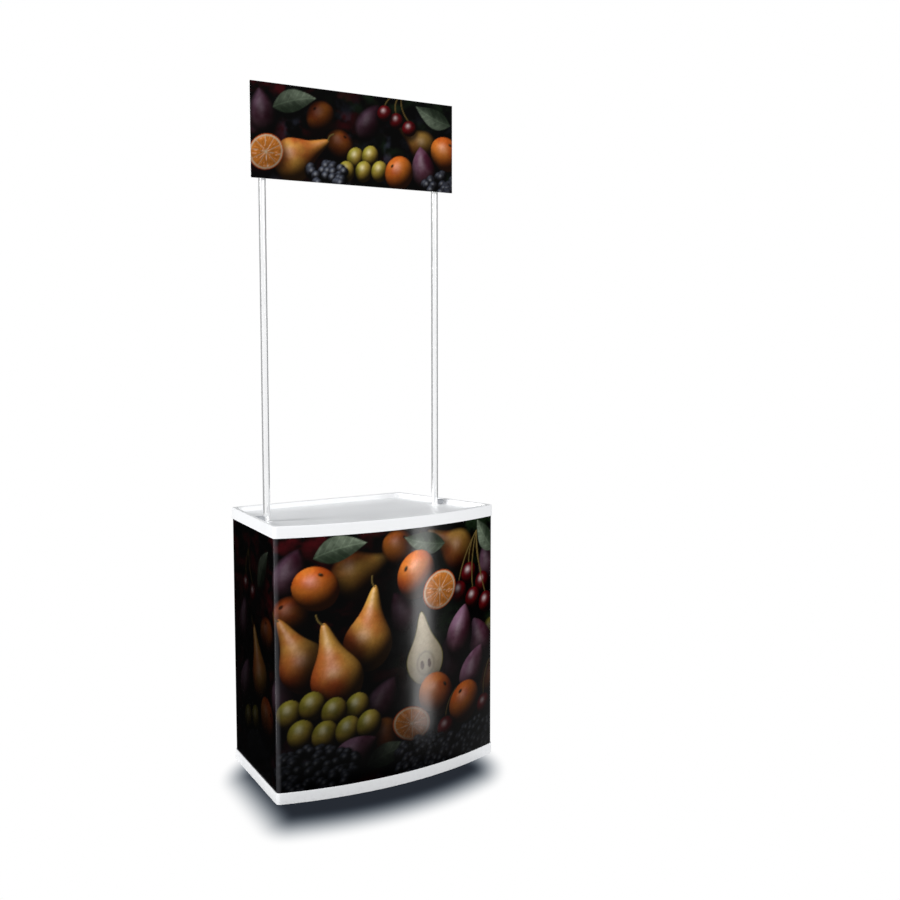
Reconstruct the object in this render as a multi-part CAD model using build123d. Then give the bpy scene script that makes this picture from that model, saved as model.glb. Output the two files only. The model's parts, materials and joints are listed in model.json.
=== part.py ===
from build123d import *
import math
import os

# A knock-down tasting stand: a bowed counter with a printed body, a tray top and a header on two poles.
# Millimetres. The origin is on the floor under the middle of the counter's depth and width.
# +X is to the right as seen by the customer, +Y points to the open rear and +Z is up.

# Counter plan: a trapezoid, wide at the front, with a bowed front edge
FRONT_WIDTH = 817.0
SIDE_TAPER = 80.0
SIDE_DEPTH = 449.0
FRONT_BOW = 73.0
INNER_CORNER_RADIUS = 3.0
REAR_CORNER_RADIUS = 8.0

# Heights of the counter
COUNTER_HEIGHT = 850.0
TOP_HEIGHT = 37.0
BASE_HEIGHT = 36.5

# Body sheet, and the grooves of base and top that hold it
BOARD_THICKNESS = 3.0
PRINT_THICKNESS = 0.6
SHEET_CLEARANCE = 0.4
SKIRT_WALL = 2.4
GROOVE_WALL = 4.0
BASE_GROOVE_DEPTH = 27.0
TOP_GROOVE_DEPTH = 26.0
HINGE_FLANGE_WIDTH = 16.0
HINGE_FLANGE_THICKNESS = 1.2
HINGE_END_GAP = 3.0

# Base
FOOT_GAP = 2.0
DECK_THICKNESS = 4.0
DECK_DEPTH = 21.0
RIB_THICKNESS = 4.0
RIB_COUNT = 5
FOOT_DIAMETER = 26.0
FOOT_RECESS = 3.0
FOOT_CLEARANCE = 0.2
FOOT_PAD_WALL = 3.0
FOOT_EDGE_INSET = 30.0
BASE_EDGE_RADIUS = 1.0

# Rear posts
POST_DIAMETER = 25.0
POST_WALL = 1.5
POST_EDGE_INSET = 28.0
POST_SOCKET_DEPTH = 24.0
POST_SOCKET_WALL = 3.0
POST_CLEARANCE = 0.3
POST_END_GAP = 0.3

# Shelf
SHELF_HEIGHT = 430.0
SHELF_THICKNESS = 9.0
SHELF_GAP = 2.0
SHELF_CORNER_RADIUS = 26.0
SHELF_STRIP_WALL = 1.5
SHELF_STRIP_LAP = 14.0
RAIL_LEG = 20.0
RAIL_THICKNESS = 2.0
RAIL_LENGTH = 300.0

# Tabletop tray
RIM_LEDGE = 2.2
TRAY_FRONT_RIM = 36.0
TRAY_DEPTH = 18.0
TRAY_DRAFT = 15.0
TRAY_CORNER_RADIUS = 24.0
TRAY_FLOOR_THICKNESS = 4.0
TRAY_FLOOR_RADIUS = 5.0
RIM_EDGE_RADIUS = 3.0
SKIRT_EDGE_RADIUS = 1.0

# Poles
POLE_DIAMETER = 22.0
POLE_WALL = 1.5
POLE_EDGE_INSET = 49.5
POLE_Y = 25.0
PLUG_FLANGE = 2.0
PLUG_LENGTH = 18.0
PLUG_CLEARANCE = 0.1
SPIGOT_ENGAGEMENT = 60.0
SPIGOT_WALL = 2.0

# Pole sockets and saddles
SOCKET_DEPTH = 56.0
SOCKET_WALL = 2.2
SOCKET_BOTTOM = 3.0
SOCKET_FLANGE_WIDTH = 4.5
SOCKET_FLANGE_THICKNESS = 1.5
SOCKET_CLEARANCE = 0.3
NUT_HEIGHT = 8.0
NUT_WALL = 5.0
NUT_CLEARANCE = 0.1
SADDLE_WIDTH = 14.0
SADDLE_CLEARANCE = 0.4
SADDLE_WRAP = 4.0
SADDLE_TOP_GAP = 1.5
SADDLE_BOTTOM_GAP = 0.3
SCREW_DIAMETER = 3.0
SCREW_HEAD_DIAMETER = 5.6
SCREW_HEAD_HEIGHT = 2.0
SCREW_CLEARANCE = 0.1
SADDLE_SCREW_BITE = 7.0

# Header
WINDOW_HEIGHT = 1035.0
HEADER_HEIGHT = 286.0
HEADER_OVERHANG = 51.5
HEADER_THICKNESS = 5.0
HEADER_STANDOFF = 24.0
SLEEVE_MARGIN = 12.0
SLEEVE_WALL = 3.0
SLEEVE_CAP = 3.0
SLEEVE_WEB = 10.0
SLEEVE_FLANGE_WIDTH = 52.0
SLEEVE_FLANGE_THICKNESS = 3.0
SLEEVE_CLEARANCE = 0.3
SLEEVE_SCREW_EDGE = 8.0
SLEEVE_SCREW_MARGIN = 30.0
SLEEVE_SCREW_COVER = 1.0

# Plan lines worked out from the driving dimensions
SIDE_LEAN = math.atan2(SIDE_TAPER, SIDE_DEPTH)
REAR_Y = (SIDE_DEPTH + FRONT_BOW) / 2
APEX_Y = REAR_Y - SIDE_DEPTH - FRONT_BOW
CHORD_Y = APEX_Y + FRONT_BOW
SIDE_WAY = Vector(math.cos(SIDE_LEAN), math.sin(SIDE_LEAN))
ALONG_WAY = Vector(-math.sin(SIDE_LEAN), math.cos(SIDE_LEAN))
REAR_WAY = Vector(0, 1)

# Insets of the sheet's faces and of the groove's walls from the counter's outer face
PRINT_INSET = SKIRT_WALL + SHEET_CLEARANCE
BOARD_INSET = PRINT_INSET + PRINT_THICKNESS
INNER_INSET = BOARD_INSET + BOARD_THICKNESS
GROOVE_INSET = INNER_INSET + SHEET_CLEARANCE
RING_INSET = GROOVE_INSET + GROOVE_WALL
CORNER_INSET = RING_INSET + INNER_CORNER_RADIUS

# Levels of the counter
SKIRT_BOTTOM = COUNTER_HEIGHT - TOP_HEIGHT
TRAY_FLOOR = COUNTER_HEIGHT - TRAY_DEPTH
TRAY_UNDERSIDE = TRAY_FLOOR - TRAY_FLOOR_THICKNESS
SHEET_BOTTOM = BASE_HEIGHT - BASE_GROOVE_DEPTH
SHEET_TOP = SKIRT_BOTTOM + TOP_GROOVE_DEPTH
DECK_TOP = BASE_HEIGHT - DECK_DEPTH
DECK_UNDERSIDE = DECK_TOP - DECK_THICKNESS

# Levels of the poles and the header
HEADER_BOTTOM = COUNTER_HEIGHT + WINDOW_HEIGHT
HEADER_TOP = HEADER_BOTTOM + HEADER_HEIGHT
SLEEVE_BOTTOM = HEADER_BOTTOM + SLEEVE_MARGIN
SLEEVE_TOP = HEADER_TOP - SLEEVE_MARGIN
POLE_BOTTOM = TRAY_FLOOR - SOCKET_DEPTH
POLE_TOP = SLEEVE_TOP - SLEEVE_CAP
POLE_SPLIT = (POLE_BOTTOM + POLE_TOP) / 2
POLE_BORE = POLE_DIAMETER - 2 * POLE_WALL


def bow_radius(width, bow):
    """Radius of the arc that rises by bow over a chord of the given width."""
    return (width**2 / 4 + bow**2) / (2 * bow)


BOW_RADIUS = bow_radius(FRONT_WIDTH, FRONT_BOW)
BOW_CENTRE_Y = APEX_Y + BOW_RADIUS


def side_x(y, inset):
    """X of the right side face, moved in by inset, at depth y."""
    return FRONT_WIDTH / 2 - (y - CHORD_Y) * math.tan(SIDE_LEAN) - inset / math.cos(SIDE_LEAN)


def front_meeting(inset, centre_y, radius):
    """Point where the right side face, moved in by inset, meets a front arc about (0, centre_y)."""
    slope = math.tan(SIDE_LEAN)
    level_x = side_x(centre_y, inset)
    a = 1 + slope**2
    b = -2 * level_x * slope
    c = level_x**2 - radius**2
    drop = (-b - math.sqrt(b**2 - 4 * a * c)) / (2 * a)
    return Vector(level_x - slope * drop, centre_y + drop)


def corner_arc(centre, radius, start_way, end_way):
    """Arc about centre between two unit directions, the short way round."""
    middle_way = (start_way + end_way).normalized()
    return ThreePointArc(
        centre + start_way * radius,
        centre + middle_way * radius,
        centre + end_way * radius,
    )


def mirrored(shape):
    """The same piece on the left of the stand."""
    return mirror(shape, about=Plane.YZ)


def outline(side_inset, rear_inset, arc_centre_y, arc_radius, front_radius, rear_radius):
    """Closed plan: front arc, flat sides moved in by side_inset and a straight rear, with round corners."""
    front_centre = front_meeting(side_inset + front_radius, arc_centre_y, arc_radius - front_radius)
    arc_way = (front_centre - Vector(0, arc_centre_y)).normalized()
    rear_centre_y = REAR_Y - rear_inset - rear_radius
    rear_centre = Vector(side_x(rear_centre_y, side_inset + rear_radius), rear_centre_y)
    front_corner = corner_arc(front_centre, front_radius, arc_way, SIDE_WAY)
    rear_corner = corner_arc(rear_centre, rear_radius, SIDE_WAY, REAR_WAY)
    side = Line(front_corner @ 1, rear_corner @ 0)
    arc_end = front_corner @ 0
    front = ThreePointArc(
        Vector(-arc_end.X, arc_end.Y), Vector(0, arc_centre_y - arc_radius), arc_end
    )
    rear_end = rear_corner @ 1
    rear = Line(rear_end, Vector(-rear_end.X, rear_end.Y))
    right = [front_corner, side, rear_corner]
    return make_face([front, rear] + right + [mirrored(edge) for edge in right])


def counter_outline(inset):
    """The counter's plan moved in by inset, with the front corners about the same centres."""
    return outline(
        inset,
        inset,
        BOW_CENTRE_Y,
        BOW_RADIUS - inset,
        CORNER_INSET - inset,
        max(REAR_CORNER_RADIUS - inset, INNER_CORNER_RADIUS),
    )


# The sheet bends about this point at the right front corner
CORNER_CENTRE = front_meeting(CORNER_INSET, BOW_CENTRE_Y, BOW_RADIUS - CORNER_INSET)
BOW_WAY = (CORNER_CENTRE - Vector(0, BOW_CENTRE_Y)).normalized()
# Its sides stop one corner radius short of the rear
SHEET_END = Vector(side_x(REAR_Y, 0), REAR_Y) - ALONG_WAY * REAR_CORNER_RADIUS


def bow_end(inset):
    """Where the bowed front turns into the right corner, at one inset."""
    return CORNER_CENTRE + BOW_WAY * (CORNER_INSET - inset)


def side_start(inset):
    """Where the right corner turns into the flat side, at one inset."""
    return CORNER_CENTRE + SIDE_WAY * (CORNER_INSET - inset)


def side_end(inset, end_gap=0.0):
    """Rear end of the right side of the sheet, at one inset."""
    return SHEET_END - SIDE_WAY * inset + ALONG_WAY * end_gap


def bow_line(inset):
    """Front arc of the sheet from the left corner to the right corner, at one inset."""
    right_end = bow_end(inset)
    left_end = Vector(-right_end.X, right_end.Y)
    return ThreePointArc(left_end, Vector(0, APEX_Y + inset), right_end)


def corner_line(inset):
    """Arc of the sheet's right front corner, at one inset."""
    return corner_arc(CORNER_CENTRE, CORNER_INSET - inset, BOW_WAY, SIDE_WAY)


def bow_face(outer, inner):
    """Plan of the bowed front between two insets."""
    outer_line = bow_line(outer)
    inner_line = bow_line(inner)
    ends = [Line(outer_line @ t, inner_line @ t) for t in (0, 1)]
    return make_face([outer_line, inner_line] + ends)


def corner_face(outer, inner):
    """Plan of the right front corner between two insets."""
    outer_line = corner_line(outer)
    inner_line = corner_line(inner)
    ends = [Line(outer_line @ t, inner_line @ t) for t in (0, 1)]
    return make_face([outer_line, inner_line] + ends)


def side_face(outer, inner):
    """Plan of the flat right side between two insets."""
    return make_face(
        Polyline(
            side_start(outer), side_end(outer), side_end(inner), side_start(inner), close=True
        ).edges()
    )


def sheet_face(outer, inner, end_gap=0.0):
    """Plan of the whole bent sheet between two insets, from one rear end to the other."""
    edges = []
    for inset in (outer, inner):
        side = Line(side_start(inset), side_end(inset, end_gap))
        corner = corner_line(inset)
        edges += [bow_line(inset), side, corner, mirrored(side), mirrored(corner)]
    end = Line(side_end(outer, end_gap), side_end(inner, end_gap))
    return make_face(edges + [end, mirrored(end)])


def raised(face, bottom, top):
    """Prism on a plan face between two levels."""
    return Pos(0, 0, bottom) * extrude(face, amount=top - bottom)


def rod(diameter, bottom, top):
    """Upright round bar between two levels."""
    return raised(Circle(diameter / 2), bottom, top)


def tube(outer, inner, bottom, top):
    """Upright round tube between two levels."""
    return raised(Circle(outer / 2) - Circle(inner / 2), bottom, top)


# Places that several pieces share
POLE_X = side_x(POLE_Y, POLE_EDGE_INSET)
POLE_SPOT = Pos(POLE_X, POLE_Y)
POST_Y = REAR_Y - POST_EDGE_INSET
POST_SPOT = Pos(side_x(POST_Y, POST_EDGE_INSET), POST_Y)
POST_SOCKET_BORE = POST_DIAMETER + 2 * POST_CLEARANCE
POST_SOCKET_OUTER = POST_SOCKET_BORE + 2 * POST_SOCKET_WALL
BASE_SOCKET_TOP = DECK_TOP + POST_SOCKET_DEPTH
TOP_SOCKET_BOTTOM = TRAY_UNDERSIDE - POST_SOCKET_DEPTH


def foot_spots():
    """Places of the feet: near the four corners and behind the middle of the bow."""
    front = front_meeting(FOOT_EDGE_INSET, BOW_CENTRE_Y, BOW_RADIUS - FOOT_EDGE_INSET)
    rear_y = REAR_Y - FOOT_EDGE_INSET
    rear_x = side_x(rear_y, FOOT_EDGE_INSET)
    spots = [Pos(sign * front.X, front.Y) for sign in (-1, 1)]
    spots += [Pos(sign * rear_x, rear_y) for sign in (-1, 1)]
    return spots + [Pos(0, APEX_Y + FOOT_EDGE_INSET)]


def base_tray():
    """Plinth with the sheet's groove, a sunk deck, ribs and foot pads below and two post sockets."""
    plinth = raised(counter_outline(0), FOOT_GAP, BASE_HEIGHT)
    plinth = fillet(plinth.edges().group_by(Axis.Z)[-1], BASE_EDGE_RADIUS)
    inside = counter_outline(RING_INSET)
    hollow = raised(inside, FOOT_GAP, DECK_UNDERSIDE)
    plinth -= raised(inside, DECK_TOP, BASE_HEIGHT)
    plinth -= hollow
    plinth -= raised(sheet_face(SKIRT_WALL, GROOVE_INSET, SHEET_CLEARANCE), SHEET_BOTTOM, BASE_HEIGHT)
    rib_pitch = FRONT_WIDTH / (RIB_COUNT + 1)
    for index in range(RIB_COUNT):
        rib_x = (index + 1) * rib_pitch - FRONT_WIDTH / 2
        rib = Pos(rib_x, 0) * Rectangle(RIB_THICKNESS, 2 * REAR_Y)
        plinth += raised(rib, FOOT_GAP, DECK_UNDERSIDE) & hollow
    for spot in foot_spots():
        pad = FOOT_DIAMETER + 2 * FOOT_PAD_WALL
        plinth += spot * rod(pad, FOOT_GAP, DECK_UNDERSIDE)
        plinth -= spot * rod(FOOT_DIAMETER + 2 * FOOT_CLEARANCE, FOOT_GAP, FOOT_GAP + FOOT_RECESS)
    socket = POST_SPOT * tube(POST_SOCKET_OUTER, POST_SOCKET_BORE, DECK_TOP, BASE_SOCKET_TOP)
    return plinth + socket + mirrored(socket)


def base_feet():
    """Rubber discs that stand in the plinth's recesses."""
    disc = rod(FOOT_DIAMETER, 0, FOOT_GAP + FOOT_RECESS)
    return Compound(children=[spot * disc for spot in foot_spots()])


def rear_post():
    """Right post, from the deck up to the underside of the tray floor."""
    return POST_SPOT * tube(
        POST_DIAMETER, POST_DIAMETER - 2 * POST_WALL, DECK_TOP, TRAY_UNDERSIDE - POST_END_GAP
    )


def front_panel():
    """Bowed board of the sheet."""
    return raised(bow_face(BOARD_INSET, INNER_INSET), SHEET_BOTTOM, SHEET_TOP)


def side_panel():
    """Flat right board of the sheet."""
    return raised(side_face(BOARD_INSET, INNER_INSET), SHEET_BOTTOM, SHEET_TOP)


def corner_hinge():
    """Flexible right corner strip: the bent corner itself and two flanges bonded inside the boards."""
    bend = raised(corner_face(BOARD_INSET, INNER_INSET), SHEET_BOTTOM, SHEET_TOP)
    flange_inset = INNER_INSET + HINGE_FLANGE_THICKNESS
    side_edge = side_start(INNER_INSET) + ALONG_WAY * HINGE_FLANGE_WIDTH
    side_flange = make_face(
        Polyline(
            side_start(INNER_INSET),
            side_edge,
            side_edge - SIDE_WAY * HINGE_FLANGE_THICKNESS,
            side_start(flange_inset),
            close=True,
        ).edges()
    )
    reach = math.asin(bow_end(INNER_INSET).X / (BOW_RADIUS - INNER_INSET))
    reach -= HINGE_FLANGE_WIDTH / BOW_RADIUS
    clip_x = (BOW_RADIUS - flange_inset) * math.sin(reach)
    bow_flange = bow_face(INNER_INSET, flange_inset) & Pos(clip_x, APEX_Y) * Rectangle(
        FRONT_WIDTH, 2 * FRONT_WIDTH, align=(Align.MIN, Align.CENTER)
    )
    flanges = side_flange + bow_flange + corner_face(INNER_INSET, flange_inset)
    return bend + raised(flanges, BASE_HEIGHT + HINGE_END_GAP, SKIRT_BOTTOM - HINGE_END_GAP)


def printed_wrap():
    """Printed film round the outside of all three boards."""
    return raised(sheet_face(PRINT_INSET, BOARD_INSET), SHEET_BOTTOM, SHEET_TOP)


def shelf_rail():
    """Angle strip bonded inside the right board, with its flat leg on top."""
    spare = (side_end(INNER_INSET) - side_start(INNER_INSET)).length - RAIL_LENGTH
    start = side_start(INNER_INSET) + ALONG_WAY * (spare / 2)
    far = start + ALONG_WAY * RAIL_LENGTH

    def leg(depth):
        return make_face(
            Polyline(start, far, far - SIDE_WAY * depth, start - SIDE_WAY * depth, close=True).edges()
        )

    upright = raised(leg(RAIL_THICKNESS), SHELF_HEIGHT - RAIL_LEG, SHELF_HEIGHT)
    return upright + raised(leg(RAIL_LEG), SHELF_HEIGHT - RAIL_THICKNESS, SHELF_HEIGHT)


SHELF_INSET = INNER_INSET + SHELF_GAP
SHELF_REAR_INSET = POST_EDGE_INSET + POST_DIAMETER / 2 + SHELF_GAP + SHELF_STRIP_WALL


def shelf_board():
    """Board of the counter's inner plan that rests on the two rails, clear of the posts."""
    plan = outline(
        SHELF_INSET,
        SHELF_REAR_INSET,
        BOW_CENTRE_Y,
        BOW_RADIUS - SHELF_INSET,
        SHELF_CORNER_RADIUS,
        INNER_CORNER_RADIUS,
    )
    return raised(plan, SHELF_HEIGHT, SHELF_HEIGHT + SHELF_THICKNESS)


def shelf_edge_strip():
    """Channel pushed over the shelf's rear edge between the rails."""
    edge_y = REAR_Y - SHELF_REAR_INSET
    half_length = side_x(edge_y, SHELF_INSET + RAIL_LEG + SHELF_GAP)
    block = Pos(0, edge_y + SHELF_STRIP_WALL, SHELF_HEIGHT + SHELF_THICKNESS / 2) * Box(
        2 * half_length,
        SHELF_STRIP_LAP + SHELF_STRIP_WALL,
        SHELF_THICKNESS + 2 * SHELF_STRIP_WALL,
        align=(Align.CENTER, Align.MAX, Align.CENTER),
    )
    return block - shelf_board()


TRAY_RIM = RING_INSET + RIM_LEDGE
TRAY_BOW = FRONT_BOW - TRAY_FRONT_RIM + TRAY_RIM
TRAY_BOW_RADIUS = bow_radius(FRONT_WIDTH, TRAY_BOW)
TRAY_ARC_CENTRE_Y = APEX_Y + TRAY_FRONT_RIM + TRAY_BOW_RADIUS


def tray_hollow():
    """Space inside the tray, with leaning walls and a rounded foot."""
    mouth = outline(
        TRAY_RIM, TRAY_RIM, TRAY_ARC_CENTRE_Y, TRAY_BOW_RADIUS, TRAY_CORNER_RADIUS, TRAY_CORNER_RADIUS
    )
    hollow = extrude(Pos(0, 0, COUNTER_HEIGHT) * mouth, amount=-TRAY_DEPTH, taper=TRAY_DRAFT)
    return fillet(hollow.edges().group_by(Axis.Z)[0], TRAY_FLOOR_RADIUS)


SOCKET_BORE = POLE_DIAMETER + 2 * SOCKET_CLEARANCE
SOCKET_OUTER = SOCKET_BORE + 2 * SOCKET_WALL
SADDLE_BOTTOM = TRAY_FLOOR + SOCKET_FLANGE_THICKNESS + SADDLE_BOTTOM_GAP
SADDLE_TOP = COUNTER_HEIGHT - SADDLE_TOP_GAP
SADDLE_MIDDLE = (SADDLE_BOTTOM + SADDLE_TOP) / 2
SADDLE_NECK = POLE_DIAMETER / 2 + SADDLE_CLEARANCE


def saddle_frame():
    """Frame at the right pole with X towards the end wall, at the saddle's middle height."""
    return Location(Plane(origin=(POLE_X, POLE_Y, SADDLE_MIDDLE), x_dir=SIDE_WAY, z_dir=(0, 0, 1)))


def saddle_bar(diameter, start, end):
    """Round bar along the saddle's axis, between two distances from the pole's axis."""
    bar = extrude(Plane.YZ.offset(start) * Circle(diameter / 2), amount=end - start)
    return saddle_frame() * bar


# Distances of the saddle's screw from the pole's axis, and the end wall that it bites into
WALL_DISTANCE = POLE_EDGE_INSET - TRAY_RIM - (COUNTER_HEIGHT - SADDLE_MIDDLE) * math.tan(
    math.radians(TRAY_DRAFT)
)
SADDLE_SCREW_SEAT = SADDLE_NECK + SCREW_HEAD_HEIGHT
SADDLE_SCREW_TIP = WALL_DISTANCE + SADDLE_SCREW_BITE
SCREW_HOLE = SCREW_DIAMETER + 2 * SCREW_CLEARANCE


def tabletop_tray():
    """Tray with a raised rim, the sheet's groove in its skirt, pole holes and two post sockets below."""
    top = raised(counter_outline(0), SKIRT_BOTTOM, COUNTER_HEIGHT)
    top = fillet(top.edges().group_by(Axis.Z)[-1], RIM_EDGE_RADIUS)
    top = fillet(top.edges().group_by(Axis.Z)[0], SKIRT_EDGE_RADIUS)
    top -= tray_hollow()
    rim = top.faces().sort_by(Axis.Z)[-1]
    top = fillet(rim.inner_wires()[0].edges(), RIM_EDGE_RADIUS)
    top -= raised(counter_outline(RING_INSET), SKIRT_BOTTOM, TRAY_UNDERSIDE)
    top -= raised(sheet_face(SKIRT_WALL, GROOVE_INSET, SHEET_CLEARANCE), SKIRT_BOTTOM, SHEET_TOP)
    socket = POST_SPOT * tube(POST_SOCKET_OUTER, POST_SOCKET_BORE, TOP_SOCKET_BOTTOM, TRAY_UNDERSIDE)
    hole = POLE_SPOT * rod(SOCKET_OUTER + 2 * SOCKET_CLEARANCE, TRAY_UNDERSIDE, TRAY_FLOOR)
    pilot = saddle_bar(SCREW_HOLE, 0, SADDLE_SCREW_TIP)
    for cut in (hole, pilot):
        top -= cut
        top -= mirrored(cut)
    return top + socket + mirrored(socket)


def pole_socket():
    """Flanged cup that takes the foot of the right pole."""
    flange = SOCKET_OUTER + 2 * SOCKET_FLANGE_WIDTH
    cup = rod(SOCKET_OUTER, POLE_BOTTOM - SOCKET_BOTTOM, TRAY_FLOOR)
    cup += rod(flange, TRAY_FLOOR, TRAY_FLOOR + SOCKET_FLANGE_THICKNESS)
    cup -= rod(SOCKET_BORE, POLE_BOTTOM, TRAY_FLOOR + SOCKET_FLANGE_THICKNESS)
    return POLE_SPOT * cup


def socket_nut():
    """Six-sided nut that clamps the right cup to the tray floor from below."""
    bore = SOCKET_OUTER + 2 * NUT_CLEARANCE
    plan = RegularPolygon(bore / 2 + NUT_WALL, 6, major_radius=False) - Circle(bore / 2)
    return POLE_SPOT * raised(plan, TRAY_UNDERSIDE - NUT_HEIGHT, TRAY_UNDERSIDE)


def pole_saddle():
    """Block on the right end wall, hollowed to the pole and bored for its screw."""
    height = SADDLE_TOP - SADDLE_BOTTOM
    block = Box(
        POLE_EDGE_INSET - SADDLE_NECK + SADDLE_WRAP,
        SADDLE_WIDTH,
        height,
        align=(Align.MIN, Align.CENTER, Align.CENTER),
    )
    saddle = saddle_frame() * Pos(SADDLE_NECK - SADDLE_WRAP) * block
    saddle -= POLE_SPOT * rod(2 * SADDLE_NECK, TRAY_FLOOR, COUNTER_HEIGHT)
    saddle -= saddle_bar(SCREW_HEAD_DIAMETER + 2 * SCREW_CLEARANCE, 0, SADDLE_SCREW_SEAT)
    saddle -= saddle_bar(SCREW_HOLE, 0, POLE_EDGE_INSET)
    return saddle & tray_hollow()


def saddle_screw():
    """Screw from the right saddle's hollow into the end wall."""
    head = saddle_bar(SCREW_HEAD_DIAMETER, SADDLE_NECK, SADDLE_SCREW_SEAT)
    return head + saddle_bar(SCREW_DIAMETER, SADDLE_SCREW_SEAT, SADDLE_SCREW_TIP)


def lower_pole():
    """Lower half of the right pole."""
    return POLE_SPOT * tube(POLE_DIAMETER, POLE_BORE, POLE_BOTTOM + PLUG_FLANGE, POLE_SPLIT)


def upper_pole():
    """Upper half of the right pole."""
    return POLE_SPOT * tube(POLE_DIAMETER, POLE_BORE, POLE_SPLIT, POLE_TOP - PLUG_FLANGE)


def pole_spigot():
    """Inner tube fixed in the lower pole that the upper pole slides over."""
    outer = POLE_BORE - 2 * PLUG_CLEARANCE
    spigot = tube(
        outer, outer - 2 * SPIGOT_WALL, POLE_SPLIT - SPIGOT_ENGAGEMENT, POLE_SPLIT + SPIGOT_ENGAGEMENT
    )
    return POLE_SPOT * spigot


def tube_plug(flange_bottom, stem_way):
    """Plug for a pole's end: a flange as wide as the pole and a stem up (1) or down (-1) into the bore."""
    flange_top = flange_bottom + PLUG_FLANGE
    stem_start = flange_top if stem_way > 0 else flange_bottom
    stem_end = stem_start + stem_way * PLUG_LENGTH
    flange = rod(POLE_DIAMETER, flange_bottom, flange_top)
    stem = rod(POLE_BORE - 2 * PLUG_CLEARANCE, min(stem_start, stem_end), max(stem_start, stem_end))
    return POLE_SPOT * (flange + stem)


HEADER_BACK_Y = POLE_Y - HEADER_STANDOFF
HEADER_FRONT_Y = HEADER_BACK_Y - HEADER_THICKNESS
HEADER_WIDTH = 2 * (POLE_X + HEADER_OVERHANG)
SLEEVE_SCREW_TIP_Y = HEADER_FRONT_Y + SLEEVE_SCREW_COVER


def sleeve_screw_spots():
    """Places of the right sleeve's screws on the back of the board, as x and z."""
    column = SLEEVE_FLANGE_WIDTH / 2 - SLEEVE_SCREW_EDGE
    rows = (SLEEVE_BOTTOM + SLEEVE_SCREW_MARGIN, SLEEVE_TOP - SLEEVE_SCREW_MARGIN)
    return [(POLE_X + sign * column, z) for sign in (-1, 1) for z in rows]


def header_bar(diameter, x, z, start_y, end_y):
    """Round bar along Y between two depths."""
    disc = Plane(origin=(x, start_y, z), x_dir=(1, 0, 0), z_dir=(0, 1, 0)) * Circle(diameter / 2)
    return extrude(disc, amount=end_y - start_y)


def header_sheet(front_y, thickness):
    """Flat sheet of the header's size, with its front at the given depth."""
    return Pos(0, front_y, HEADER_BOTTOM) * Box(
        HEADER_WIDTH, thickness, HEADER_HEIGHT, align=(Align.CENTER, Align.MIN, Align.MIN)
    )


def header_board():
    """Board behind the print, with blind holes for the sleeves' screws."""
    board = header_sheet(HEADER_FRONT_Y, HEADER_THICKNESS)
    for x, z in sleeve_screw_spots():
        hole = header_bar(SCREW_HOLE, x, z, SLEEVE_SCREW_TIP_Y, HEADER_BACK_Y)
        board -= hole
        board -= mirrored(hole)
    return board


def header_print():
    """Printed film on the front of the board."""
    return header_sheet(HEADER_FRONT_Y - PRINT_THICKNESS, PRINT_THICKNESS)


def header_sleeve():
    """Right sleeve: a closed tube for the pole on a web and a flange against the board."""
    bore = POLE_DIAMETER + 2 * SLEEVE_CLEARANCE
    ring = POLE_SPOT * Circle(bore / 2 + SLEEVE_WALL)
    web = Pos(POLE_X, HEADER_BACK_Y) * Rectangle(
        SLEEVE_WEB, HEADER_STANDOFF, align=(Align.CENTER, Align.MIN)
    )
    flange = Pos(POLE_X, HEADER_BACK_Y) * Rectangle(
        SLEEVE_FLANGE_WIDTH, SLEEVE_FLANGE_THICKNESS, align=(Align.CENTER, Align.MIN)
    )
    sleeve = raised(ring + web + flange, SLEEVE_BOTTOM, SLEEVE_TOP)
    sleeve -= POLE_SPOT * rod(bore, SLEEVE_BOTTOM, POLE_TOP)
    for x, z in sleeve_screw_spots():
        sleeve -= header_bar(SCREW_HOLE, x, z, HEADER_BACK_Y, HEADER_BACK_Y + SLEEVE_FLANGE_THICKNESS)
    return sleeve


def sleeve_screws():
    """Screws of the right sleeve, with their heads on the flange."""
    seat_y = HEADER_BACK_Y + SLEEVE_FLANGE_THICKNESS
    screws = []
    for x, z in sleeve_screw_spots():
        shank = header_bar(SCREW_DIAMETER, x, z, SLEEVE_SCREW_TIP_Y, seat_y)
        head = header_bar(SCREW_HEAD_DIAMETER, x, z, seat_y, seat_y + SCREW_HEAD_HEIGHT)
        screws.append(shank + head)
    return screws


single_pieces = {
    "base_tray": base_tray(),
    "base_feet": base_feet(),
    "front_panel": front_panel(),
    "printed_wrap": printed_wrap(),
    "shelf_board": shelf_board(),
    "shelf_edge_strip": shelf_edge_strip(),
    "tabletop_tray": tabletop_tray(),
    "header_board": header_board(),
    "header_print": header_print(),
}

paired_pieces = {
    "rear_post": rear_post(),
    "side_panel": side_panel(),
    "corner_hinge": corner_hinge(),
    "shelf_rail": shelf_rail(),
    "pole_socket": pole_socket(),
    "socket_nut": socket_nut(),
    "pole_saddle": pole_saddle(),
    "lower_pole": lower_pole(),
    "upper_pole": upper_pole(),
    "pole_spigot": pole_spigot(),
    "foot_plug": tube_plug(POLE_BOTTOM, 1),
    "top_cap": tube_plug(POLE_TOP - PLUG_FLANGE, -1),
    "header_sleeve": header_sleeve(),
}

grouped_pieces = {
    "saddle_screws": [saddle_screw()],
    "sleeve_screws": sleeve_screws(),
}

os.makedirs("parts", exist_ok=True)
for name, piece in single_pieces.items():
    export_step(piece, f"parts/{name}.step")
for name, piece in paired_pieces.items():
    export_step(piece, f"parts/right_{name}.step")
    export_step(mirrored(piece), f"parts/left_{name}.step")
for name, pieces in grouped_pieces.items():
    group = Compound(children=pieces + [mirrored(piece) for piece in pieces])
    export_step(group, f"parts/{name}.step")
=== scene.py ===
import json
import math

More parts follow.
